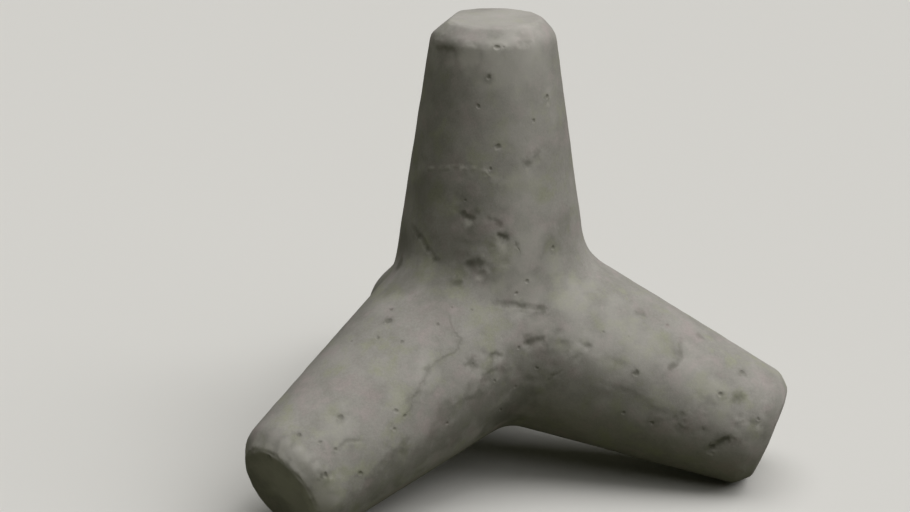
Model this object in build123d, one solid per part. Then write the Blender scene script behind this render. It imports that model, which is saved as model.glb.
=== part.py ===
from build123d import *

import math
import os

# A four-legged concrete armour block, as cast for breakwaters and used as a heavy barrier.
#
# The block is one casting with no fittings. Four equal tapered legs grow from one middle, each at
# 109.5 degrees to the other three, so three legs always make a tripod and the fourth stands
# upright. Each leg is a truncated cone whose flat end has a broad chamfer, softly rounded where it
# meets the cone. The six crotches between the legs are hollow fillets, as a ball rolled along them
# would leave, and they run together at four places, one opposite each leg.
#
# Units are millimetres and +Z is up. The origin is the middle of the block, where the four leg
# axes meet. The block is modelled as it stands on a level floor: one leg along +Z and three feet
# round it, one of them towards +Y.

# Driving dimensions of the mould
leg_length = 1200  # from the middle of the block to a leg's flat end, along the leg
root_radius = 412  # of a leg's cone where it would reach the middle of the block
end_radius = 240  # of a leg's cone where the end chamfer starts
end_chamfer = 55  # both along the leg and across it
arris_radius = 60  # of the soft rounding between cone and chamfer
crotch_radius = 180  # of the hollow fillets between the legs

# The axes of four equally spread legs are this far apart
leg_spread = math.degrees(math.acos(-1 / 3))
foot_directions = (90, 210, 330)  # compass directions of the feet, turning from +X towards +Y

# A cone's round surface closes along one straight seam. No seam may reach a place where three legs
# meet, or the fillets cannot run together there. So each seam reaches the middle of a crotch that
# no other seam uses: the upright leg's faces the first foot, and each foot's faces the next foot.
upright_seam = foot_directions[0]
foot_seam = 60


def leg(seam_direction):
    """One upright leg with its chamfered end, its seam turned to the given direction."""
    half_section = make_face(
        Polyline(
            (0, 0),
            (root_radius, 0),
            (end_radius, leg_length - end_chamfer),
            (end_radius - end_chamfer, leg_length),
            (0, leg_length),
            close=True,
        )
    )
    arris = [corner for corner in half_section.vertices() if abs(corner.X - end_radius) < 0.01]
    half_section = fillet(arris, arris_radius)
    solid = revolve(Plane.XZ * half_section, Axis.Z, 360)
    return Rot(0, 0, seam_direction) * solid


def legs():
    """The upright leg and the three feet, all reaching into the middle of the block."""
    foot = Rot(0, leg_spread, 0) * leg(foot_seam)
    return [leg(upright_seam)] + [Rot(0, 0, direction) * foot for direction in foot_directions]


def crotch_edges(body):
    """The curves where two cones cross, the only edges that are neither lines nor circles."""
    return [edge for edge in body.edges() if edge.geom_type == GeomType.BSPLINE]


def armour_block():
    """The whole casting as one solid."""
    upright, *feet = legs()
    body = upright.fuse(*feet)
    return fillet(crotch_edges(body), crotch_radius)


block = armour_block()
os.makedirs("parts", exist_ok=True)
export_step(block, "parts/armour_block.step")

# The block rests on the rounded arris of each foot, so the floor is at the lowest height printed
box = block.bounding_box()
print("solids", len(block.solids()), "valid", block.is_valid, "faces", len(block.faces()))
print("volume in cubic metres", round(block.volume / 1e9, 4))
print("lowest", round(box.min.Z, 3), "highest", round(box.max.Z, 3))
print("size", tuple(round(value, 1) for value in box.size))
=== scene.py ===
# %% [markdown]
# # A weathered concrete armour block
# The real thing is one casting of plain concrete: four equal tapered legs that grow out of one middle,
# like a jack, so that blocks piled on a shore lock together. Concrete is poured into a steel mould, and
# the surface shows it: a skin that is never quite even, round holes where air was trapped against the
# steel, and, after years outside, cracks, chipped arrises and stains.
#
# The frame holds the casting at its real size. This script gives it that skin.

import math
import random
from collections import namedtuple

import bmesh
import bpy
import numpy as np
from mathutils import Matrix, Vector, noise
from mathutils.bvhtree import BVHTree
from mathutils.kdtree import KDTree


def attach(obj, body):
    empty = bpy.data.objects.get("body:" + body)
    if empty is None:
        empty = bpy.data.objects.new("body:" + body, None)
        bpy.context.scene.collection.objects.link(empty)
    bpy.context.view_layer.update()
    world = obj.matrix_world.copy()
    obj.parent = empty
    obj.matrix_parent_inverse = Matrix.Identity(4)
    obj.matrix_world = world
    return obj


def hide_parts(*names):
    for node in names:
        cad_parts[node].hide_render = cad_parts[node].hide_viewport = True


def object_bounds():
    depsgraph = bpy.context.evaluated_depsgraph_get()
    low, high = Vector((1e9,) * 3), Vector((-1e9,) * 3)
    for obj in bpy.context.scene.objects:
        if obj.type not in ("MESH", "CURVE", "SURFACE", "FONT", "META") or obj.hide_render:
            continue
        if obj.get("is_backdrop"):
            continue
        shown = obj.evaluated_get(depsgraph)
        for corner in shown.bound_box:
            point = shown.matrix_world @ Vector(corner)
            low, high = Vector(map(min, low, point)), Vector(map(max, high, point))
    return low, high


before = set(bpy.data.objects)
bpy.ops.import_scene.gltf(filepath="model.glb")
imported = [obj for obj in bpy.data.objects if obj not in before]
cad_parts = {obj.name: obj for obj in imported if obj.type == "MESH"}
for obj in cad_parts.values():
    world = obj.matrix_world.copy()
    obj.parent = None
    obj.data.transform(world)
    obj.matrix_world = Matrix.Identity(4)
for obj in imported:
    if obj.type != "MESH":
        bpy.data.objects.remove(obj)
cast_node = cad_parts["armour_block"]
cad_low, cad_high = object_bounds()
MM = 0.001  # one millimetre in Blender's metres
print("casting", [round(side, 3) for side in cad_high - cad_low], "m")

# %% [markdown]
# ## The four legs
# Every mark on the block sits on one leg or where legs meet, so the legs' axes come first. The middle
# of the block is the frame's origin and the upright leg ends at its highest point, which gives the
# length of all four. The three feet lie evenly round, each at the same angle to the other legs.

# %% The legs' axes and ends
LEG_LENGTH = cad_high.z
LEG_SPREAD = math.acos(-1 / 3)  # between any two of four evenly spread legs
FOOT_DIRECTIONS = [math.radians(turn) for turn in (90, 210, 330)]
END_CHAMFER = 55 * MM
OUTER_ARRIS = 240 * MM  # radius at which the end chamfer starts
INNER_ARRIS = OUTER_ARRIS - END_CHAMFER  # radius of the flat end face

LEG_AXES = [Vector((0, 0, 1))]
for turn in FOOT_DIRECTIONS:
    LEG_AXES.append(Matrix.Rotation(turn, 3, "Z") @ Vector((math.sin(LEG_SPREAD), 0, math.cos(LEG_SPREAD))))
UPRIGHT, BACK_FOOT, LEFT_FOOT, RIGHT_FOOT = range(4)
print("leg length", round(LEG_LENGTH, 3), "m")
print("axes", [tuple(round(value, 2) for value in axis) for axis in LEG_AXES])

# %% [markdown]
# ## The camera
# The camera comes early because some marks are placed where the picture shows them. It stands eight
# metres off with a long lens, a little left of the front and above the block, and aims so that the
# crossing of the legs lands where it does in the picture.

# %% The camera
PICTURE_SIZE = (910, 512)  # pixels
SENSOR_WIDTH = 36  # millimetres, across the picture's long side
LENS_PX = 2053  # focal length in pixels
CAMERA_DISTANCE = 6.833 * LEG_LENGTH  # about 8.2 m
CAMERA_AZIMUTH = math.radians(-17.58)
CAMERA_ELEVATION = math.radians(20.28)
CAMERA_ROLL = math.radians(0.28)
MIDDLE_IN_PICTURE = (490.8, 312.5)  # pixels from the left and from the top

towards_camera = Vector((
    math.sin(CAMERA_AZIMUTH) * math.cos(CAMERA_ELEVATION),
    -math.cos(CAMERA_AZIMUTH) * math.cos(CAMERA_ELEVATION),
    math.sin(CAMERA_ELEVATION),
))
camera_data = bpy.data.cameras.new("camera")
camera_data.sensor_width = SENSOR_WIDTH
camera_data.lens = LENS_PX / PICTURE_SIZE[0] * SENSOR_WIDTH
camera = bpy.data.objects.new("camera", camera_data)
bpy.context.scene.collection.objects.link(camera)
bpy.context.scene.camera = camera

right = Vector((math.cos(CAMERA_AZIMUTH), math.sin(CAMERA_AZIMUTH), 0))
up = towards_camera.cross(right)
metres_per_px = CAMERA_DISTANCE / LENS_PX
aim = (
    right * (PICTURE_SIZE[0] / 2 - MIDDLE_IN_PICTURE[0]) * metres_per_px
    - up * (PICTURE_SIZE[1] / 2 - MIDDLE_IN_PICTURE[1]) * metres_per_px
)
camera.location = towards_camera * CAMERA_DISTANCE
look = (aim - camera.location).to_track_quat("-Z", "Y").to_matrix() @ Matrix.Rotation(CAMERA_ROLL, 3, "Z")
camera.rotation_euler = look.to_euler()
print("lens", round(camera_data.lens, 1), "mm, camera at", [round(value, 2) for value in camera.location])

# %% [markdown]
# ## An even skin over the casting
# The casting's own mesh has few, long triangles, which is right for a form but no good for carving.
# A sculptor would start with a voxel remesh, and so does this script: a copy of the casting, its loose
# triangles merged, is rebuilt from small even faces. The casting's surface is kept in a search tree, so
# that anything can be set down on it later.

# %% Copy the casting and make its mesh even
EVEN_SIZE = 21 * MM  # side of the even faces

cast_bm = bmesh.new()
cast_bm.from_mesh(cast_node.data)
bmesh.ops.remove_doubles(cast_bm, verts=cast_bm.verts, dist=0.01 * MM)
casting_surface = BVHTree.FromBMesh(cast_bm)
skin_mesh = bpy.data.meshes.new("weathered_concrete")
cast_bm.to_mesh(skin_mesh)
cast_bm.free()

skin = bpy.data.objects.new("weathered_concrete", skin_mesh)
bpy.context.scene.collection.objects.link(skin)
even = skin.modifiers.new("even", "REMESH")
even.mode = "VOXEL"
even.voxel_size = EVEN_SIZE
even_mesh = bpy.data.meshes.new_from_object(skin.evaluated_get(bpy.context.evaluated_depsgraph_get()))
skin.modifiers.clear()
skin.data = even_mesh
print("even skin", len(even_mesh.vertices), "vertices")

# %% [markdown]
# ## Setting marks down on the block
# A mark is a hole, a crack, a groove, a ledge, a pit, a row of beads or a chip. Each has a line of
# places on the casting, each place with the way the surface faces there, and a width and a depth. Marks
# that the picture shows are found by looking from the camera through a pixel onto the casting, so they
# sit on the block and not on the picture. Marks on sides that the picture hides are found by going out
# from a leg's axis, or come from a fixed seed, so that they are the same each time.

# %% Places on the casting
Place = namedtuple("Place", "at facing")
Mark = namedtuple("Mark", "kind line width depth")
marks = []
chance = random.Random(11)  # the seed of all that is scattered


def on_casting(at):
    """The place on the casting that is nearest to a point."""
    return Place(*casting_surface.find_nearest(at)[:2])


def seen_at(px, py):
    """The place on the casting that shows at a pixel of the picture."""
    ray = look @ Vector(((px - PICTURE_SIZE[0] / 2) / LENS_PX, (PICTURE_SIZE[1] / 2 - py) / LENS_PX, -1))
    return Place(*casting_surface.ray_cast(camera.location, ray.normalized())[:2])


def on_leg(leg, along, turn):
    """The place beside a point of a leg's axis, turned some degrees from the side that faces the camera."""
    axis = LEG_AXES[leg]
    to_camera = (towards_camera - axis * towards_camera.dot(axis)).normalized()
    outwards = Matrix.Rotation(math.radians(turn), 3, axis) @ to_camera
    return Place(*casting_surface.ray_cast(axis * along, outwards)[:2])


def hidden(place):
    """Whether the camera can't see a place, which faces away or has a leg in front of it."""
    start = place.at + place.facing * MM
    to_camera = (camera.location - start).normalized()
    return place.facing.dot(to_camera) <= 0 or casting_surface.ray_cast(start, to_camera)[0] is not None


def anywhere():
    """A place from the seed."""
    return on_casting(even_mesh.polygons[chance.randrange(len(even_mesh.polygons))].center)


def hidden_place():
    """A place from the seed that the camera can't see."""
    place = anywhere()
    while not hidden(place):
        place = anywhere()
    return place


print("middle of the picture's crossing", [round(value, 3) for value in seen_at(*MIDDLE_IN_PICTURE).at])

# %% [markdown]
# ### Air holes
# Air that is trapped between wet concrete and the steel leaves round pits, called bug holes. They are
# 5 to 20 mm across, and each is a shallow bowl. Weather has crumbled the rims of all but the small ones,
# which made them wider. The ones that show are set where the picture has them. The rest are scattered:
# many small, few large, as air bubbles are.

# %% Air holes
SEEN_AIR_HOLES = [  # pixels across and down, width in millimetres before weather
    (497, 47, 14), (503, 47, 7), (488, 77, 11), (478, 106, 11), (547, 97, 12), (534, 121, 10),
    (498, 147, 13), (490, 169, 9), (553, 248, 12), (527, 281, 10), (516, 293, 9), (465, 201, 10),
    (437, 324, 12), (452, 308, 7), (473, 310, 7), (473, 363, 10), (388, 321, 18), (391, 309, 12),
    (378, 338, 11), (402, 342, 11), (351, 341, 8), (340, 417, 14), (396, 411, 10), (405, 416, 11),
    (395, 430, 11), (298, 435, 13), (320, 443, 10), (336, 449, 12), (325, 475, 14), (360, 474, 13),
    (269, 457, 11), (447, 424, 9), (519, 348, 9), (495, 381, 10), (516, 387, 9), (501, 410, 9),
    (536, 368, 9), (603, 332, 8), (668, 325, 10), (624, 413, 10), (742, 372, 15), (721, 395, 14),
    (636, 373, 15), (652, 423, 11), (703, 430, 10), (758, 419, 9),
]
WORN_WIDER = 1.6  # by how much weather has widened all but the small ones
HOLE_DEPTH = 0.17  # of its width
SMALL_HOLES = 40  # all over, where the picture shows too
SMALL_HOLE_WIDTHS = (4, 6.5)  # millimetres
HIDDEN_HOLES = 110
HIDDEN_HOLE_WIDTHS = (5, 19)  # millimetres, before weather
MOSTLY_SMALL = 2.2  # the power of a random share that leaves few large ones


def air_hole(place, width):
    """A hole of a width in millimetres."""
    marks.append(Mark("hole", [place], width * MM, width * HOLE_DEPTH * MM))


for px, py, width in SEEN_AIR_HOLES:
    air_hole(seen_at(px, py), width * WORN_WIDER)
for _ in range(SMALL_HOLES):
    air_hole(anywhere(), chance.uniform(*SMALL_HOLE_WIDTHS))
narrow, wide = HIDDEN_HOLE_WIDTHS
for _ in range(HIDDEN_HOLES):
    air_hole(hidden_place(), (narrow + (wide - narrow) * chance.random() ** MOSTLY_SMALL) * WORN_WIDER)
print(len(marks), "air holes")

# %% [markdown]
# ### Cracks and grooves
# Concrete shrinks and the block is knocked about, so fine cracks run over it, and here and there a
# knock has ploughed a groove. A crack wanders, because it goes round the stones in the concrete, so
# each route is cut into short steps that are pushed a little to either side and laid back on the
# surface. A real crack is under a millimetre wide with crumbled edges. It is drawn as wide as the
# crumbled part, so that it shows.

# %% Cracks and grooves
STEP = 9 * MM
SWAY = 2.2 * MM  # how far a step is pushed aside, at most
SEEN_LINES = [  # kind, width and depth in millimetres, then the route in pixels
    ("crack", 12, 1.1, [
        (449, 316), (451, 326), (456, 334), (461, 339), (458, 349), (452, 355), (443, 358), (436, 363),
        (428, 370),
    ]),
    ("crack", 10, 1.1, [(428, 370), (424, 381), (417, 393), (412, 399), (410, 408), (405, 416)]),
    ("crack", 8, 2, [(513, 240), (517, 246), (520, 253)]),
    ("groove", 24, 2.2, [(494, 304), (505, 304), (515, 305), (525, 307), (535, 308), (546, 308)]),
    ("groove", 30, 1.8, [(412, 228), (421, 238), (428, 249), (433, 256), (438, 262)]),
    ("groove", 16, 1.5, [(336, 449), (342, 445), (350, 441), (362, 441)]),
    ("groove", 22, 2, [(681, 339), (680, 349), (681, 358), (677, 365), (670, 368)]),
    ("groove", 15, 1.5, [(548, 381), (553, 375), (561, 371)]),
]
HIDDEN_LINES = [  # kind, leg, width and depth in millimetres, share of the leg's length and turn in degrees
    ("crack", BACK_FOOT, 11, 1.4, [(0.52, 170), (0.6, 176), (0.7, 172), (0.78, 180), (0.9, 177)]),
    ("crack", BACK_FOOT, 9, 1.2, [(0.7, 172), (0.73, 160), (0.8, 154)]),
    ("crack", UPRIGHT, 10, 1.3, [(0.45, 190), (0.55, 198), (0.66, 192), (0.74, 200)]),
    ("crack", RIGHT_FOOT, 11, 1.4, [(0.62, 150), (0.7, 140), (0.82, 146), (0.95, 138)]),
    ("crack", LEFT_FOOT, 10, 1.3, [(0.55, 205), (0.64, 198), (0.77, 204), (0.85, 196)]),
    ("groove", UPRIGHT, 20, 2.5, [(0.8, 210), (0.86, 218)]),
    ("groove", LEFT_FOOT, 24, 3, [(0.68, 160), (0.78, 166)]),
]


def wandering(route):
    """A route of places cut into short steps, each pushed a little aside and laid back on the casting."""
    line = [route[0]]
    for start, end in zip(route, route[1:]):
        run = end.at - start.at
        steps = max(1, round(run.length / STEP))
        for step in range(1, steps + 1):
            aside = start.facing.cross(run).normalized() * chance.uniform(-SWAY, SWAY)
            line.append(on_casting(start.at + run * step / steps + aside))
    return line


for kind, width, depth, pixels in SEEN_LINES:
    marks.append(Mark(kind, wandering([seen_at(*pixel) for pixel in pixels]), width * MM, depth * MM))
for kind, leg, width, depth, route in HIDDEN_LINES:
    line = wandering([on_leg(leg, along * LEG_LENGTH, turn) for along, turn in route])
    marks.append(Mark(kind, line, width * MM, depth * MM))
print(len(SEEN_LINES) + len(HIDDEN_LINES), "cracks and grooves")

# %% [markdown]
# ### Ledges
# Where a flake has come off, or one lift of concrete flowed over the last, the surface steps back under
# a ragged lip and comes out again slowly below it. Light from above leaves the step dark and catches
# the floor under it, which is how these marks are recognised. Each is a line along its lip, whose left
# side stays high. The hidden sides get short ones that run nearly level.

# %% Ledges
SEEN_LEDGES = [  # width of the step and its depth in millimetres, then the route of the lip in pixels
    (26, 6, [(457, 212), (466, 214), (474, 216), (479, 219)]),
    (18, 3, [(493, 217), (499, 221), (504, 229)]),
    (18, 6, [(496, 232), (503, 235), (511, 239)]),
    (30, 5, [(461, 266), (470, 260), (480, 260), (487, 267)]),
    (26, 3, [(446, 279), (455, 281), (464, 280)]),
    (28, 3, [(433, 45), (446, 47), (460, 43)]),
    (24, 2.5, [(522, 164), (529, 160), (539, 153)]),
    (24, 6, [(521, 342), (529, 340), (538, 337), (547, 336)]),
    (20, 4, [(487, 354), (496, 353), (505, 353)]),
    (20, 2.6, [(460, 363), (470, 362), (482, 366)]),
    (20, 3, [(483, 378), (490, 370), (499, 368), (511, 371)]),
    (20, 1.8, [(554, 344), (560, 339), (567, 340), (570, 349)]),
    (20, 1.8, [(581, 345), (588, 342), (594, 347)]),
    (18, 2.5, [(570, 361), (577, 355), (585, 352)]),
    (34, 2, [(602, 385), (618, 385), (630, 389), (643, 397), (655, 405), (670, 411), (685, 414)]),
    (30, 1.5, [(596, 357), (608, 357), (620, 361), (632, 368)]),
    (34, 3.5, [(357, 488), (366, 478), (380, 463), (395, 450), (407, 437)]),
    (30, 2.5, [(444, 414), (455, 405), (467, 397), (480, 392), (496, 383)]),
    (20, 2, [(631, 311), (640, 312), (648, 312)]),
    (22, 3.5, [(317, 474), (325, 474), (332, 475)]),
    (24, 2, [(645, 424), (655, 421), (668, 418), (685, 413)]),
    (18, 1.5, [(672, 428), (681, 426), (691, 428)]),
    (16, 1.5, [(699, 403), (708, 402), (718, 404)]),
    (22, 3, [(729, 402), (736, 396), (745, 392)]),
    (26, 11, [(706, 455), (709, 448), (715, 442), (724, 438), (734, 434)]),
    (28, 3, [(742, 418), (752, 417), (762, 424)]),
]
HIDDEN_LEDGES = 34
LEDGE_LENGTHS = (30, 100)  # millimetres, as the next two
LEDGE_WIDTHS = (15, 26)
LEDGE_DEPTHS = (2, 7)
LEDGE_TILT = 35  # degrees from level, at most
LEDGE_BOW = 0.3  # how far the middle of a lip is bent aside, at most, as a share of its length

for width, depth, pixels in SEEN_LEDGES:
    marks.append(Mark("ledge", wandering([seen_at(*pixel) for pixel in pixels]), width * MM, depth * MM))
for _ in range(HIDDEN_LEDGES):
    start = hidden_place()
    level = Vector((0, 0, 1)).cross(start.facing).normalized()
    tilt = math.radians(chance.uniform(-LEDGE_TILT, LEDGE_TILT))
    run = Matrix.Rotation(tilt, 3, start.facing) @ level * chance.uniform(*LEDGE_LENGTHS) * MM
    bow = start.facing.cross(run) * chance.uniform(-LEDGE_BOW, LEDGE_BOW)
    line = wandering([start, on_casting(start.at + run / 2 + bow), on_casting(start.at + run)])
    width = chance.uniform(*LEDGE_WIDTHS)
    marks.append(Mark("ledge", line, width * MM, chance.uniform(*LEDGE_DEPTHS) * MM))
print(len(SEEN_LEDGES) + HIDDEN_LEDGES, "ledges")

# %% [markdown]
# ### Worn places
# Where frost and knocks have worked longest the skin has scaled off in shallow pits of a few
# centimetres that run into one another: round the foot of the upright leg, under the crossing and near
# the ends of the feet. They lie in clusters, on the hidden sides too, with single ones all over.

# %% Worn places
SEEN_WORN = [  # pixels across and down, the pits' spread in pixels, how many, their depth in millimetres
    (468, 222, 26, 9, 2.4), (478, 262, 26, 9, 2.2), (505, 245, 20, 6, 2.0), (440, 250, 26, 5, 1.4),
    (445, 50, 18, 5, 1.8), (500, 362, 34, 12, 2.4), (560, 352, 30, 8, 2.2), (470, 385, 24, 6, 1.8),
    (725, 405, 30, 9, 2.0), (690, 425, 30, 7, 1.8), (745, 425, 18, 5, 2.4), (320, 468, 30, 7, 1.8),
    (385, 450, 26, 6, 1.8), (380, 330, 26, 5, 1.2), (535, 140, 26, 5, 1.0),
]
HIDDEN_WORN = 14  # places on the hidden sides
HIDDEN_WORN_PITS = 5  # at each
HIDDEN_WORN_SPREAD = 90  # millimetres, as the next two
HIDDEN_WORN_DEPTH = 2
SINGLE_PIT_DEPTH = 1.3
SINGLE_PITS = 50
PIT_WIDTHS = (22, 58)  # millimetres
PIT_DEPTHS = (0.5, 1)  # of the depth at that place


def pit(place, depth):
    """A shallow pit of a width from the seed, up to a depth in millimetres."""
    width = chance.uniform(*PIT_WIDTHS)
    marks.append(Mark("pit", [place], width * MM, depth * chance.uniform(*PIT_DEPTHS) * MM))


for px, py, spread, pits, depth in SEEN_WORN:
    for _ in range(pits):
        turn, out = chance.uniform(0, math.tau), spread * math.sqrt(chance.random())
        pit(seen_at(px + out * math.cos(turn), py + out * math.sin(turn)), depth)
for _ in range(HIDDEN_WORN):
    middle = hidden_place()
    for _ in range(HIDDEN_WORN_PITS):
        aside = Vector([chance.uniform(-HIDDEN_WORN_SPREAD, HIDDEN_WORN_SPREAD) * MM for _ in range(3)])
        pit(on_casting(middle.at + aside), HIDDEN_WORN_DEPTH)
for _ in range(SINGLE_PITS):
    pit(anywhere(), SINGLE_PIT_DEPTH)
print(sum(mark.kind == "pit" for mark in marks), "pits")

# %% [markdown]
# ### Beads
# Paste bled through a joint of the mould and left a row of low beads on the upright leg.

# %% Beads
SEEN_BEADS = [  # pixels across and down
    (421, 171), (432, 169), (442, 168), (451, 167), (461, 168), (472, 169), (485, 170), (495, 179),
    (501, 184),
]
BEAD_RISE = 1.4 * MM
BEAD_WIDTH = 24 * MM

marks.append(Mark("bead", wandering([seen_at(*pixel) for pixel in SEEN_BEADS]), BEAD_WIDTH, BEAD_RISE))
print("beads over", len(SEEN_BEADS), "places")

# %% [markdown]
# ### Knocked arrises
# The edges of the end faces take every knock, so small flakes are missing along them. They are short
# chips on the two arrises of each end, scattered like the rest. The corner of the upper end on the
# picture's left is worn down further. Its place is noted here, so that it gets small faces too.

# %% Knocked arrises
CHIPS_ON_INNER_ARRIS = 7  # on each end
CHIPS_ON_OUTER_ARRIS = 3
CHIP_TURNS = (0.04, 0.2)  # radians round the leg that a chip is long
CHIP_WIDTHS = (16, 34)  # millimetres
CHIP_DEPTHS = (0.05, 0.11)  # of its width
CORNER_DIRECTION = math.radians(150)  # of the worn corner, turning from +X towards +Y

for axis in LEG_AXES:
    for radius, along, chips in (
        (INNER_ARRIS, LEG_LENGTH, CHIPS_ON_INNER_ARRIS),
        (OUTER_ARRIS, LEG_LENGTH - END_CHAMFER, CHIPS_ON_OUTER_ARRIS),
    ):
        for _ in range(chips):
            turn = Matrix.Rotation(chance.uniform(0, math.tau), 3, axis)
            ahead = Matrix.Rotation(chance.uniform(*CHIP_TURNS), 3, axis)
            start = turn @ axis.orthogonal().normalized() * radius + axis * along
            line = [on_casting(start), on_casting(ahead @ start)]
            width = chance.uniform(*CHIP_WIDTHS)
            marks.append(Mark("chip", line, width * MM, width * chance.uniform(*CHIP_DEPTHS) * MM))

corner_out = Vector((math.cos(CORNER_DIRECTION), math.sin(CORNER_DIRECTION), 0))
worn_corner = corner_out * INNER_ARRIS + LEG_AXES[UPRIGHT] * LEG_LENGTH
print(len(marks), "marks in all, worn corner at", [round(value, 3) for value in worn_corner])

# %% [markdown]
# ## Small faces where the marks are
# A hole of 12 mm can't be carved into faces of 21 mm. Making the whole skin finer would take millions
# of faces, so only the faces near marks and along the arrises are halved, three times over. Each time
# the reach is a little shorter, so that sizes change in steps. New corners start on the straight edges
# between old ones, so all are laid back on the casting at the end. Those that land on one another are
# merged, and all are smoothed a little, which also takes the flats out of the block's round surfaces.

# %% Where small faces are wanted
FINEST = {  # side of the faces that each kind of mark needs
    "hole": 2.5 * MM, "crack": 2.5 * MM,
    "groove": 5 * MM, "ledge": 5 * MM, "bead": 5 * MM, "chip": 5 * MM,
    "pit": 10 * MM,
}
MARK_REACH = 0.53  # to either side of a mark's line, as a share of its width
MARK_MARGIN = 1 * MM  # and this much more
ARRIS_FACE = 5 * MM
ARRIS_REACH = 18 * MM
ARRIS_SPOTS = 120  # round each end face
CORNER_TURNS = range(-40, 41, 10)  # degrees to either side of the worn corner
CORNER_REACH = 60 * MM

spots = []  # a point, how far round it small faces are wanted, and how small
for mark in marks:
    reach = mark.width * MARK_REACH + MARK_MARGIN
    for place in mark.line:
        spots.append((place.at, reach, FINEST[mark.kind]))
    for start, end in zip(mark.line, mark.line[1:]):
        spots.append(((start.at + end.at) / 2, reach, FINEST[mark.kind]))
for axis in LEG_AXES:
    for step in range(ARRIS_SPOTS):
        turn = Matrix.Rotation(math.tau * step / ARRIS_SPOTS, 3, axis)
        on_arris = turn @ axis.orthogonal().normalized() * INNER_ARRIS + axis * LEG_LENGTH
        spots.append((on_arris, ARRIS_REACH, ARRIS_FACE))
for turn in CORNER_TURNS:
    spots.append((Matrix.Rotation(math.radians(turn), 3, "Z") @ worn_corner, CORNER_REACH, ARRIS_FACE))

spot_tree = KDTree(len(spots))
for number, (at, _, _) in enumerate(spots):
    spot_tree.insert(at, number)
spot_tree.balance()
widest = max(reach for _, reach, _ in spots)
print("small faces wanted round", len(spots), "spots")

# %% Halve the faces near them
TOO_COARSE = 0.8  # faces are halved where this share of their size is more than a spot wants
CUT_EDGES = 0.6  # edges longer than this share of the size are cut
BEYOND = 0.6  # faces this share of their size beyond a spot's reach are halved too
CLOSEST = 1 * MM  # corners that land closer together are merged
SMOOTHINGS = 3

bm = bmesh.new()
bm.from_mesh(even_mesh)
bmesh.ops.triangulate(bm, faces=bm.faces)
for size in (EVEN_SIZE, EVEN_SIZE / 2, EVEN_SIZE / 4):
    wanted = set()
    for face in bm.faces:
        middle = face.calc_center_median()
        for _, number, distance in spot_tree.find_range(middle, widest + size):
            at, reach, finest = spots[number]
            if finest < size * TOO_COARSE and distance < reach + size * BEYOND:
                wanted.update(edge for edge in face.edges if edge.calc_length() > size * CUT_EDGES)
                break
    bmesh.ops.subdivide_edges(bm, edges=list(wanted), cuts=1)
    bmesh.ops.triangulate(bm, faces=[face for face in bm.faces if len(face.verts) > 3])
    print("faces after halving", round(size / MM, 1), "mm:", len(bm.faces))

for vertex in bm.verts:
    vertex.co = casting_surface.find_nearest(vertex.co)[0]
bmesh.ops.remove_doubles(bm, verts=bm.verts, dist=CLOSEST)
for _ in range(SMOOTHINGS):
    bmesh.ops.smooth_vert(bm, verts=bm.verts, factor=0.5, use_axis_x=True, use_axis_y=True, use_axis_z=True)
bmesh.ops.recalc_face_normals(bm, faces=bm.faces)
bm.to_mesh(even_mesh)
bm.free()

# %% [markdown]
# ## Carving
# From here on the skin is arrays of numbers: where each vertex rests, which way it faces and how deep it
# will sink. Each kind of mark adds to the depth. Two more numbers are painted on the way: painted shade for
# the hollows and the steps under ledges, and bare for fresh broken concrete. The material reads both.

# %% Arrays of the skin
count = len(even_mesh.vertices)
rest = np.empty(count * 3)
facing = np.empty(count * 3)
even_mesh.vertices.foreach_get("co", rest)
even_mesh.vertices.foreach_get("normal", facing)
rest = rest.reshape(count, 3)
facing = facing.reshape(count, 3)
depth = np.zeros(count)
# painted shade in the hollows and under the lips of ledges
recess_shade = np.zeros(count)
bare = np.zeros(count)


def grain(numbers, size, octaves=1, shift=0):
    """Smooth noise about 0 at some vertices. Each octave has bumps of half the size and height."""
    places = [Vector(rest[number] / size) + Vector((shift, shift, shift)) for number in numbers]
    return np.array([noise.fractal(place, 1, 2, octaves) for place in places])


# Marks are measured from these places, pushed about a little, so that none is a clean circle or strip
BEND = 5 * MM
BEND_SIZE = 32 * MM
bent = rest + BEND * np.stack([grain(range(count), BEND_SIZE, 3, shift) for shift in (5, 15, 25)], axis=1)


def near(line, reach):
    """Which vertices lie within reach of a line of places, and how far off, along and left of it each is.

    Off and left are in metres, and along runs from 0 at the line's start to 1 at its end.
    """
    ends = np.array([place.at for place in line])
    low, high = ends.min(axis=0) - reach, ends.max(axis=0) + reach
    numbers = np.nonzero(((bent > low) & (bent < high)).all(axis=1))[0]
    off, along, left = np.full(len(numbers), np.inf), np.zeros(len(numbers)), np.zeros(len(numbers))
    if len(line) == 1:
        return numbers, np.linalg.norm(bent[numbers] - ends[0], axis=1), along, left
    for step, (start, run) in enumerate(zip(ends, np.diff(ends, axis=0))):
        away = bent[numbers] - start
        share = np.clip(away @ run / (run @ run), 0, 1)
        away -= share[:, None] * run
        distance = np.linalg.norm(away, axis=1)
        closer = distance < off
        leftwards = np.cross(np.array(line[step].facing), run)
        off[closer] = distance[closer]
        along[closer] = (step + share[closer]) / (len(ends) - 1)
        left[closer] = away[closer] @ (leftwards / np.linalg.norm(leftwards))
    return numbers, off, along, left


def soft_step(share):
    """Rises smoothly from 0 to 1."""
    share = np.clip(share, 0, 1)
    return share * share * (3 - 2 * share)


print(count, "vertices,", len(even_mesh.polygons), "triangles")

# %% [markdown]
# ### An uneven surface
# The steel mould is dented and the skin has worn, so the surface waves by a millimetre or two over
# hands' breadths and is faintly rough at finger size. The whole skin lies a little inside the casting,
# so that no wave stands out past the real block's size.

# %% Waves
WAVES = [(420 * MM, 1.3 * MM), (120 * MM, 1.2 * MM), (55 * MM, 0.8 * MM)]  # size and height
BELOW_CASTING = 1.2 * MM
LEAST_DEPTH = 0.2 * MM

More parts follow.
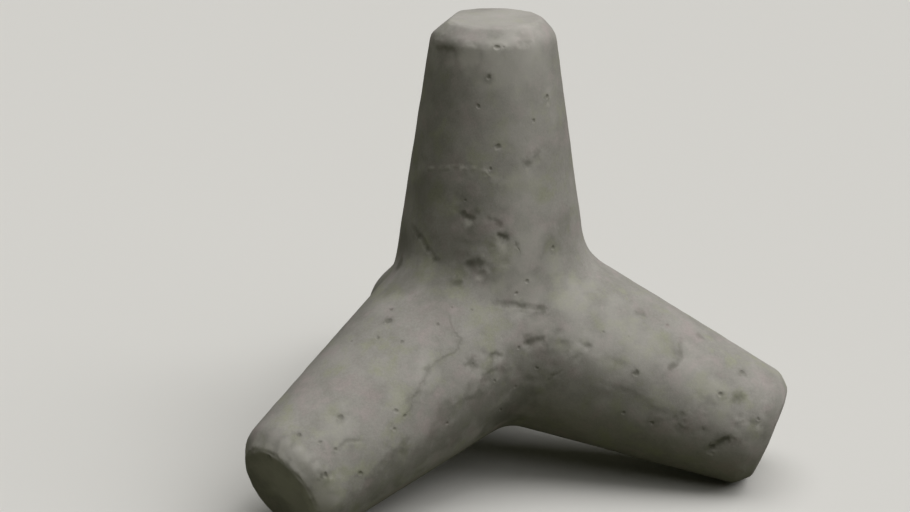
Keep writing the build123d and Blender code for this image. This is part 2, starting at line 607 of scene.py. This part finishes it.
depth += BELOW_CASTING
for size, height in WAVES:
    depth += height * np.clip(grain(range(count), size, 2), -1, 1)
depth = np.maximum(depth, LEAST_DEPTH)
print("waves between", round(depth.min() / MM, 1), "and", round(depth.max() / MM, 1), "mm deep")

# %% [markdown]
# ### Worn arrises
# Weather and knocks have rounded the arris round each end face, more in some places than in others. A
# rounding of a known radius starts a known way off the arris, and sinks with the square of the way from
# there.

# %% Wear the arrises of the end faces
WORN_RADIUS = 45 * MM
USUAL_WEAR = 0.8  # of the full rounding, as the next two
LEAST_WEAR = 0.3
MOST_WEAR = 1.3
UNEVEN_OVER = 70 * MM  # the length over which the wear changes

worn_reach = WORN_RADIUS * math.tan(math.radians(45) / 2)  # the faces turn by 45 degrees at the arris
for axis in LEG_AXES:
    along = rest @ np.array(axis)
    out = np.linalg.norm(rest - along[:, None] * np.array(axis), axis=1)
    off = np.hypot(along - LEG_LENGTH, out - INNER_ARRIS)
    numbers = np.nonzero(off < worn_reach)[0]
    uneven = np.clip(USUAL_WEAR + grain(numbers, UNEVEN_OVER, 2), LEAST_WEAR, MOST_WEAR)
    depth[numbers] += uneven * (worn_reach - off[numbers]) ** 2 / (2 * WORN_RADIUS)
print("arrises worn within", round(worn_reach / MM, 1), "mm")

# %% [markdown]
# ### A worn corner
# One corner of the upper end has lost more than the others, as a block does where a sling or a
# neighbour rubs it. A flat is worn across its arris, nearly as steep as the chamfer. Whatever stands
# over the flat is pressed on to it, against the way the flat faces and with a soft edge. Sinking each
# place against its own facing would fold the arris over, because its two sides face apart.

# %% Wear one corner flat
FLAT_TILT = math.radians(40)  # from level
FLAT_DEPTH = 20 * MM  # at the arris
FLAT_EDGE = 8 * MM  # how far the flat's edge is rounded to either side

flat_faces = np.array(corner_out * math.sin(FLAT_TILT) + LEG_AXES[UPRIGHT] * math.cos(FLAT_TILT))
over = (rest - facing * depth[:, None] - np.array(worn_corner)) @ flat_faces + FLAT_DEPTH
soft_edge = np.clip(over + FLAT_EDGE, 0, 2 * FLAT_EDGE) ** 2 / (4 * FLAT_EDGE)
rubbed_off = soft_edge + np.maximum(over - FLAT_EDGE, 0)
print("corner worn by", round(rubbed_off.max() / MM, 1), "mm")

# %% [markdown]
# ### Ledges and beads
# Under the lip of a ledge the skin steps back and then comes out again over three times the step's width.
# The step under the lip is also painted darker, as painted shade, more for a deeper step. The ledge dies
# out over its last quarter at either end. Beads are the only marks that stand proud, and are lumpy.

# %% Carve ledges and beads
LEDGE_FLOOR = 3.2  # of the step's width
# The next two set the painted shade under a ledge's lip.
LEDGE_SHADE = 0.045  # for each millimetre of depth
MOST_LEDGE_SHADE = 0.34
LUMP = 26 * MM

for mark in marks:
    if mark.kind == "ledge":
        floor_width = LEDGE_FLOOR * mark.width
        numbers, off, along, left = near(mark.line, floor_width)
        ends = soft_step(np.minimum(along, 1 - along) * 4)
        back = soft_step(-left / mark.width + 0.3) * np.clip(1 - off / floor_width, 0, 1) ** 1.5 * ends
        depth[numbers] += mark.depth * back
        # The step under the lip is painted darker: painted shade.
        under = soft_step(1.2 - np.abs(left / mark.width + 0.35) * 1.6) * ends
        shade_share = min(MOST_LEDGE_SHADE, LEDGE_SHADE * mark.depth / MM)
        recess_shade[numbers] = np.maximum(recess_shade[numbers], shade_share * under)
    if mark.kind == "bead":
        numbers, off, along, left = near(mark.line, mark.width)
        lumps = soft_step(0.35 + 2 * grain(numbers, LUMP))
        raised = soft_step(1.1 - off / (mark.width / 2)) * lumps
        depth[numbers] -= mark.depth * raised
        bare[numbers] = np.maximum(bare[numbers], 0.5 * raised)
print("ledges leave the skin down to", round(depth.max() / MM, 1), "mm")

# %% [markdown]
# ### Cavities
# Holes, cracks, grooves, pits and chips don't add up where they overlap: the deepest wins. A hole is a
# bowl, a crack is a V that thins out towards its ends, a groove is a soft trough, a pit is a shallow dish
# and a chip has a rough floor. Holes, cracks, grooves and pits are painted darker inside, as painted shade,
# which runs a little past the rim of a hole. A chip is painted paler, as freshly broken concrete.

# %% Carve the cavities
CHIP_ROUGH = 14 * MM

cavity = np.zeros(count)
for mark in marks:
    if mark.kind in ("ledge", "bead"):
        continue
    numbers, off, along, left = near(mark.line, mark.width)
    share = off / (mark.width / 2)
    thin = np.sqrt(np.clip(np.sin(math.pi * np.clip(along, 0.02, 0.98)), 0, 1))
    if mark.kind == "hole":
        carved = np.clip(1 - share**2, 0, 1)
        shade_share, fresh = 0.22 * carved + 0.06 * soft_step(1.9 - share), 0
    elif mark.kind == "crack":
        carved = np.clip(1 - share / (0.45 + 0.65 * thin), 0, 1) ** 0.8 * (0.4 + 0.6 * thin)
        shade_share, fresh = 0.15 * soft_step(1.3 - share) * (0.4 + 0.6 * thin), 0
    elif mark.kind == "groove":
        carved = soft_step(1.25 - share) * (0.35 + 0.65 * thin)
        shade_share, fresh = 0.22 * carved, 0
    elif mark.kind == "pit":
        carved = soft_step(1.1 - share)
        shade_share, fresh = 0.06 * carved, 0
    else:
        carved = soft_step(1.2 - share) * (0.8 + 0.4 * grain(numbers, CHIP_ROUGH, 2))
        shade_share, fresh = 0, 0.12 * carved
    cavity[numbers] = np.maximum(cavity[numbers], mark.depth * carved)
    # painted shade inside the hollows
    recess_shade[numbers] = np.maximum(recess_shade[numbers], shade_share)
    bare[numbers] = np.maximum(bare[numbers], fresh)
depth += cavity
print("deepest cavity", round(cavity.max() / MM, 1), "mm")

# %% [markdown]
# ### Stains, pale patches, painted shade and painted light
# Dark and pale soft patches are painted on. They are partly stains and places washed pale, and partly
# painted shade and painted light. Painted shade lies on the upright leg's shaded side, most of all where it
# grows out of the middle, on the left foot's lower side and under the crossing. Painted light lies on the
# upper end and its chamfer, on the end of the left foot and on sides that face the lamps. They are only
# painted: soft blots with uneven edges, the seen ones by the picture and some on the hidden sides by the
# seed, which are plain stains and washed patches.

# %% Paint stains, pale patches, painted shade and painted light
# Where the camera looks, these dark blots are mostly painted shade, with some stains among them.
SEEN_STAINS_AND_SHADE = [  # pixels across and down, width in millimetres, strength
    # the upper end
    (448, 46, 80, 0.32), (447, 42, 100, 0.25), (484, 54, 30, 0.15), (497, 40, 50, 0.2),
    (525, 38, 60, 0.25), (462, 30, 40, 0.1),
    # the upright leg
    (488, 78, 40, 0.3), (547, 98, 26, 0.25), (527, 162, 40, 0.35), (538, 152, 34, 0.25),
    (526, 88, 40, 0.12), (466, 120, 200, 0.08), (562, 130, 110, 0.12), (416, 150, 150, 0.14),
    (446, 100, 200, 0.16), (436, 150, 220, 0.24), (428, 195, 200, 0.32),
    # round the foot of the upright leg
    (475, 264, 80, 0.4), (463, 271, 60, 0.25), (492, 276, 70, 0.25), (457, 283, 44, 0.4),
    (449, 278, 60, 0.25), (474, 213, 40, 0.3), (462, 213, 40, 0.25), (437, 260, 28, 0.35),
    (416, 233, 50, 0.2), (396, 269, 40, 0.2), (552, 245, 80, 0.25), (493, 247, 50, 0.25),
    (504, 237, 34, 0.4), (499, 224, 30, 0.25), (461, 235, 200, 0.08), (402, 245, 150, 0.35),
    (410, 280, 140, 0.3), (436, 232, 200, 0.2), (395, 287, 110, 0.3), (400, 262, 60, 0.55),
    (418, 236, 26, 0.45), (427, 248, 26, 0.45), (435, 259, 28, 0.5), (567, 222, 110, 0.28),
    (450, 245, 200, 0.28), (470, 200, 120, 0.2), (437, 290, 150, 0.22), (470, 236, 140, 0.3),
    # the left foot
    (388, 320, 44, 0.3), (340, 416, 50, 0.25), (334, 408, 50, 0.12), (298, 435, 44, 0.2),
    (324, 475, 50, 0.25), (309, 480, 44, 0.2), (360, 475, 34, 0.25), (348, 443, 50, 0.15),
    (405, 441, 40, 0.3), (391, 466, 80, 0.25), (372, 483, 80, 0.25), (376, 392, 80, 0.12),
    (428, 369, 34, 0.35), (412, 400, 44, 0.25), (269, 457, 34, 0.2), (392, 342, 150, 0.14),
    (330, 378, 150, 0.08), (420, 458, 150, 0.42), (400, 472, 140, 0.42), (380, 486, 130, 0.4),
    (405, 452, 60, 0.4), (394, 462, 60, 0.45), (383, 474, 60, 0.45), (372, 487, 60, 0.45),
    (362, 498, 120, 0.35), (350, 504, 90, 0.2),
    # the crossing and under it
    (541, 308, 34, 0.4), (522, 306, 40, 0.25), (505, 304, 30, 0.2), (458, 340, 34, 0.25),
    (452, 351, 40, 0.2), (444, 312, 90, 0.1), (530, 340, 50, 0.35), (538, 334, 60, 0.2),
    (496, 355, 44, 0.25), (473, 363, 50, 0.3), (490, 371, 40, 0.25), (506, 371, 50, 0.2),
    (467, 397, 34, 0.3), (458, 411, 56, 0.2), (447, 424, 50, 0.25), (440, 312, 150, 0.18),
    (517, 362, 130, 0.3), (540, 352, 130, 0.3), (524, 372, 130, 0.36), (503, 384, 170, 0.5),
    (480, 408, 170, 0.5), (505, 412, 210, 0.58), (520, 395, 150, 0.5), (447, 414, 110, 0.4),
    (462, 425, 160, 0.45), (440, 442, 150, 0.45),
    # the right foot
    (566, 344, 50, 0.2), (576, 357, 50, 0.2), (588, 344, 40, 0.2), (640, 311, 50, 0.2),
    (700, 335, 36, 0.35), (678, 354, 50, 0.2), (673, 366, 38, 0.35), (636, 373, 44, 0.3),
    (742, 372, 44, 0.25), (721, 395, 38, 0.25), (738, 397, 56, 0.3), (708, 403, 60, 0.2),
    (680, 416, 60, 0.2), (653, 422, 60, 0.25), (682, 428, 60, 0.2), (722, 439, 60, 0.35),
    (712, 446, 26, 0.6), (723, 439, 26, 0.6), (709, 448, 34, 0.3), (766, 437, 50, 0.25),
    (772, 416, 60, 0.2), (560, 372, 150, 0.3), (590, 380, 160, 0.28), (625, 396, 160, 0.2),
    (772, 378, 90, 0.18), (768, 420, 90, 0.2),
]
# Where the camera looks, these pale blots are mostly painted light, with some washed patches among them.
SEEN_PALE_AND_LIT = [  # the same for pale patches
    # the upper end
    (451, 58, 40, 0.25), (450, 25, 44, 0.4), (538, 23, 36, 0.4), (512, 60, 330, 0.55),
    (495, 20, 420, 0.45), (468, 54, 120, 0.75), (495, 52, 130, 0.8), (528, 52, 120, 0.65),
    (450, 60, 50, 0.3),
    # the upright leg
    (432, 169, 22, 0.4), (451, 167, 22, 0.4), (461, 168, 24, 0.6), (485, 171, 34, 0.25),
    (496, 180, 40, 0.35), (509, 158, 24, 0.3), (548, 104, 20, 0.5), (530, 130, 260, 0.2),
    (525, 190, 160, 0.35),
    # round the foot of the upright leg
    (468, 223, 30, 0.8), (452, 228, 20, 0.35), (478, 277, 22, 0.7), (454, 264, 30, 0.3),
    (502, 247, 50, 0.4), (556, 299, 18, 0.3), (527, 292, 150, 0.5), (522, 262, 130, 0.35),
    (522, 222, 120, 0.25), (530, 242, 120, 0.45), (552, 266, 120, 0.35), (497, 285, 100, 0.4),
    # the left foot
    (302, 463, 80, 0.25), (398, 398, 60, 0.2), (383, 306, 80, 0.15), (340, 425, 150, 0.25),
    (425, 372, 120, 0.3), (312, 478, 90, 0.55), (280, 480, 230, 0.7), (300, 505, 200, 0.5),
    (262, 470, 120, 0.4), (256, 443, 60, 0.7), (268, 449, 60, 0.7), (282, 457, 60, 0.7),
    (295, 467, 60, 0.7), (305, 479, 60, 0.7), (272, 439, 60, 0.5), (284, 445, 60, 0.65),
    (294, 452, 60, 0.75), (303, 461, 60, 0.75), (310, 470, 60, 0.7), (315, 480, 60, 0.5),
    (322, 492, 70, 0.5), (307, 496, 70, 0.85), (312, 508, 80, 0.85), (326, 504, 110, 0.65),
    # the crossing and under it
    (540, 344, 40, 0.45), (499, 359, 46, 0.4), (497, 375, 34, 0.35), (478, 372, 50, 0.3),
    (520, 394, 30, 0.3), (540, 330, 110, 0.4),
    # the right foot
    (560, 350, 34, 0.3), (745, 420, 40, 0.4), (760, 430, 36, 0.4), (750, 443, 40, 0.3),
    (738, 434, 40, 0.3), (575, 300, 170, 0.3), (615, 322, 190, 0.3), (640, 352, 170, 0.3),
    (690, 372, 170, 0.3), (712, 392, 140, 0.35), (580, 340, 130, 0.4), (602, 358, 130, 0.35),
    (722, 417, 110, 0.3),
]
HIDDEN_BLOTS = 60  # of each
BLOT_WIDTHS = (30, 190)  # millimetres
STAIN_STRENGTHS = (0.12, 0.42)
PALE_STRENGTHS = (0.1, 0.4)
BLOT_REACH = 0.9  # how far out a blot can be painted, as a share of its width
BLOT_STRAY = 0.6  # how far its edge strays, as a share of its half width
BLOT_LUMP = 0.35  # size of the lumps of its edge, as a share of its width
CRACK_STAIN = 18 * MM  # on either side of a crack
CRACK_STAIN_STRENGTH = 0.16


def blots(seen, strengths):
    """How strongly each vertex is painted by the seen blots and by others on the hidden sides."""
    placed = [(seen_at(px, py), width, strength) for px, py, width, strength in seen]
    for _ in range(HIDDEN_BLOTS):
        placed.append((hidden_place(), chance.uniform(*BLOT_WIDTHS), chance.uniform(*strengths)))
    painted = np.zeros(count)
    for place, width, strength in placed:
        numbers, off, _, _ = near([place], width * BLOT_REACH * MM)
        share = off / (width / 2 * MM) + BLOT_STRAY * grain(numbers, width * BLOT_LUMP * MM, 3)
        painted[numbers] = np.maximum(painted[numbers], strength * soft_step(1.3 - share * 0.85))
    return painted


# Dark blots are stains and painted shade, and pale blots are washed patches and painted light.
stain_and_shade = blots(SEEN_STAINS_AND_SHADE, STAIN_STRENGTHS)
pale_and_lit = blots(SEEN_PALE_AND_LIT, PALE_STRENGTHS)
for mark in marks:
    if mark.kind == "crack":
        numbers, off, _, _ = near(mark.line, CRACK_STAIN)
        painted = CRACK_STAIN_STRENGTH * soft_step(1.2 - off / CRACK_STAIN)
        stain_and_shade[numbers] = np.maximum(stain_and_shade[numbers], painted)
for name, values in (("stained_and_shaded", stain_and_shade), ("pale_and_lit", pale_and_lit)):
    print(name, round(float((values > 0.1).mean()), 2), "of the vertices")

# %% [markdown]
# ### The finished skin
# The depths and the flat are applied, and the four painted numbers go into attributes of the mesh. The
# skin rides on the frame's only body and stands for the casting, whose own mesh stays hidden.

# %% Apply the depths
carved = rest - facing * depth[:, None] - flat_faces * rubbed_off[:, None]
even_mesh.vertices.foreach_set("co", carved.ravel())
even_mesh.polygons.foreach_set("use_smooth", [True] * len(even_mesh.polygons))
even_mesh.update()
# The attributes hold bare concrete, painted shade in the hollows, stains with painted shade and pale patches
# with painted light.
for name, values in (("recess_shade", recess_shade), ("bare", bare), ("stain_and_shade", stain_and_shade), ("pale_and_lit", pale_and_lit)):
    even_mesh.attributes.new(name, "FLOAT", "POINT").data.foreach_set("value", values)

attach(skin, "root")
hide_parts("armour_block")
print("skin of", len(even_mesh.polygons), "triangles")

# %% [markdown]
# ## The concrete
# Cast concrete is a matt grey stone. Its paste is not one grey: it drifts between warm, pinkish and
# greenish grey over hand-sized clouds, sand shows through as a fine speckle, and the surface has a
# faint grain. All of it is made of noise in object coordinates, so it stays on the block from any side.

# %% Helpers for materials
def colour(hex_code):
    """An sRGB hex colour as the linear values that a shader wants."""
    channels = [int(hex_code[start:start + 2], 16) / 255 for start in (1, 3, 5)]
    return [c / 12.92 if c <= 0.04045 else ((c + 0.055) / 1.055) ** 2.4 for c in channels] + [1]


def add_node(tree, kind, inputs=None, **settings):
    """Adds a shader node. An input is a plain value or the output of another node."""
    made = tree.nodes.new(kind)
    for name, value in settings.items():
        setattr(made, name, value)
    for name, value in (inputs or {}).items():
        if isinstance(value, bpy.types.NodeSocket):
            tree.links.new(value, made.inputs[name])
        else:
            made.inputs[name].default_value = value
    return made


# %% Weathered cast concrete
SHARE, BELOW, ABOVE, MIXED = 0, 6, 7, 2  # sockets of a Mix node for colours: three inputs and its output
WARM_GREY = "#ABA7A1"
DARK_GREY = "#9A9790"
PINK_GREY = "#AFA4A1"
GREEN_GREY = "#A4A48F"
# the dark of stains and of painted shade
DARK_STAIN_AND_SHADE = "#494A38"
BARE = "#B4B1A6"
# the pale of washed patches and of painted light
WASHED_AND_LIT = "#D0CCC5"
CLOUD = 300 * MM
TINT = 120 * MM
SAND = 9 * MM  # real sand is 1 to 4 mm, too fine for the render
PORE = 5 * MM

concrete = bpy.data.materials.new("weathered_cast_concrete")
concrete.use_nodes = True
tree = concrete.node_tree
shader = tree.nodes["Principled BSDF"]
where = add_node(tree, "ShaderNodeTexCoord").outputs["Object"]

clouds = add_node(tree, "ShaderNodeTexNoise", {
    "Vector": where, "Scale": 1 / CLOUD, "Detail": 6, "Roughness": 0.75,
})
cloud_share = add_node(tree, "ShaderNodeMapRange", {
    "Value": clouds.outputs[0], "From Min": 0.4, "From Max": 0.62,
})
grey = add_node(tree, "ShaderNodeMix", {
    SHARE: cloud_share.outputs[0], BELOW: colour(WARM_GREY), ABOVE: colour(DARK_GREY),
}, data_type="RGBA")

tints = add_node(tree, "ShaderNodeTexNoise", {
    "Vector": where, "Scale": 1 / TINT, "Detail": 5, "Roughness": 0.65,
})
pink_share = add_node(tree, "ShaderNodeMapRange", {
    "Value": tints.outputs[0], "From Min": 0.52, "From Max": 0.66, "To Max": 0.8,
})
green_share = add_node(tree, "ShaderNodeMapRange", {
    "Value": tints.outputs[0], "From Min": 0.48, "From Max": 0.34, "To Max": 0.75,
})
pinkish = add_node(tree, "ShaderNodeMix", {
    SHARE: pink_share.outputs[0], BELOW: grey.outputs[MIXED], ABOVE: colour(PINK_GREY),
}, data_type="RGBA")
paste = add_node(tree, "ShaderNodeMix", {
    SHARE: green_share.outputs[0], BELOW: pinkish.outputs[MIXED], ABOVE: colour(GREEN_GREY),
}, data_type="RGBA")
print("paste between", WARM_GREY, "and", DARK_GREY)

# %% [markdown]
# Sand speckles the paste, and broken places, washed places and painted light are lighter. Stains, painted
# shade on the shaded sides and painted shade in the hollows and under ledges are darker. Each is mixed over
# the last by the share that is painted on the mesh.

# %% Sand, breaks and dirt
sand = add_node(tree, "ShaderNodeTexNoise", {
    "Vector": where, "Scale": 1 / SAND, "Detail": 3, "Roughness": 0.7,
})
sand_share = add_node(tree, "ShaderNodeMapRange", {
    "Value": sand.outputs[0], "From Min": 0.35, "From Max": 0.65, "To Min": 0.93, "To Max": 1.05,
})
mixed = add_node(tree, "ShaderNodeVectorMath", {
    0: paste.outputs[MIXED], "Scale": sand_share.outputs[0],
}, operation="SCALE").outputs[0]

# Bare concrete, pale patches with painted light, stains with painted shade, and painted shade in the hollows.
for attribute, tone in (("bare", BARE), ("pale_and_lit", WASHED_AND_LIT), ("stain_and_shade", DARK_STAIN_AND_SHADE), ("recess_shade", DARK_STAIN_AND_SHADE)):
    share = add_node(tree, "ShaderNodeAttribute", attribute_name=attribute).outputs["Fac"]
    mixed = add_node(tree, "ShaderNodeMix", {
        SHARE: share, BELOW: mixed, ABOVE: colour(tone),
    }, data_type="RGBA").outputs[MIXED]
tree.links.new(mixed, shader.inputs["Base Color"])
print("sand drawn at", round(SAND / MM, 1), "mm")

# %% [markdown]
# Dry concrete scatters light in all directions, so its roughness is high and hardly varies. The bump
# adds what is finer than the carved mesh: the grain of sand and the rims of pores.

# %% Roughness and bump
rough = add_node(tree, "ShaderNodeMapRange", {
    "Value": sand.outputs[0], "From Min": 0.3, "From Max": 0.7, "To Min": 0.86, "To Max": 0.96,
})
tree.links.new(rough.outputs[0], shader.inputs["Roughness"])
pores = add_node(tree, "ShaderNodeTexNoise", {
    "Vector": where, "Scale": 1 / PORE, "Detail": 4, "Roughness": 0.65,
})
relief = add_node(tree, "ShaderNodeMath", {0: pores.outputs[0], 1: sand.outputs[0]}, operation="ADD")
bump = add_node(tree, "ShaderNodeBump", {"Height": relief.outputs[0], "Strength": 0.35, "Distance": 1.2 * MM})
tree.links.new(bump.outputs[0], shader.inputs["Normal"])
even_mesh.materials.clear()
even_mesh.materials.append(concrete)
print("material", concrete.name, "with", len(tree.nodes), "nodes")

# %% [markdown]
# ## Floor and light
# The block stands on a pale studio floor. Seen directly the floor is pale, but for light that bounces
# on to the block it is a darker grey, as the ground outdoors is, so the undersides stay dark. The light
# comes from a large part of the sky high on the right, so it is made of three wide soft lamps that run
# together: one overhead, one on the right and one between the right and the camera. A faint even sky
# fills in the rest.

# %% The floor
FLOOR_REACH = 40  # metres from its middle to a side
PALE_FLOOR = "#E4E2DE"
GROUND = "#5C5E4C"

floor_low = carved[:, 2].min()
floor_bm = bmesh.new()
bmesh.ops.create_grid(floor_bm, x_segments=1, y_segments=1, size=FLOOR_REACH)
bmesh.ops.translate(floor_bm, verts=floor_bm.verts, vec=(0, 0, floor_low))
floor_mesh = bpy.data.meshes.new("floor")
floor_bm.to_mesh(floor_mesh)
floor_bm.free()
floor = bpy.data.objects.new("floor", floor_mesh)
bpy.context.scene.collection.objects.link(floor)
floor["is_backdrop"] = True

floor_paint = bpy.data.materials.new("pale_floor")
floor_paint.use_nodes = True
floor_tree = floor_paint.node_tree
seen = add_node(floor_tree, "ShaderNodeLightPath").outputs["Is Camera Ray"]
shade = add_node(floor_tree, "ShaderNodeMix", {
    SHARE: seen, BELOW: colour(GROUND), ABOVE: colour(PALE_FLOOR),
}, data_type="RGBA")
floor_shader = floor_tree.nodes["Principled BSDF"]
floor_shader.inputs["Roughness"].default_value = 0.95
floor_tree.links.new(shade.outputs[MIXED], floor_shader.inputs["Base Color"])
floor_mesh.materials.append(floor_paint)
print("floor at", round(floor_low, 4))

# %% The light
SKY_STRENGTH = 0.045
SKY = "#FBFFD8"
LAMP_SPREAD = math.radians(50)
LAMPS = [(90, 0, 1.19), (50, 0, 1.1), (50, 45, 0.62)]  # height and turn from the right in degrees, strength

world = bpy.data.worlds.new("studio")
bpy.context.scene.world = world
world.use_nodes = True
background = world.node_tree.nodes["Background"]
background.inputs["Color"].default_value = colour(SKY)
background.inputs["Strength"].default_value = SKY_STRENGTH

for height, turn, strength in LAMPS:
    lamp_data = bpy.data.lights.new("wide_lamp", "SUN")
    lamp_data.energy = strength
    lamp_data.angle = LAMP_SPREAD
    lamp = bpy.data.objects.new("wide_lamp", lamp_data)
    bpy.context.scene.collection.objects.link(lamp)
    level = Matrix.Rotation(-math.radians(turn), 3, "Z") @ right
    lamp_from = level * math.cos(math.radians(height)) + Vector((0, 0, math.sin(math.radians(height))))
    lamp.rotation_euler = (-lamp_from).to_track_quat("-Z", "Y").to_euler()
    print("lamp from", [round(value, 2) for value in lamp_from])
bpy.context.scene.view_settings.view_transform = "Standard"

# %% [markdown]
# ## Sizes
# The carved skin has to stay inside the casting's box, so the skin's box is measured and how far it stands
# past the casting's box is printed.

# %% Write the sizes and finish
shown_low, shown_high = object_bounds()
past_the_box = max(max(cad_low - shown_low), max(shown_high - cad_high))
print("outside the casting's box by", round(past_the_box / MM, 2), "mm")
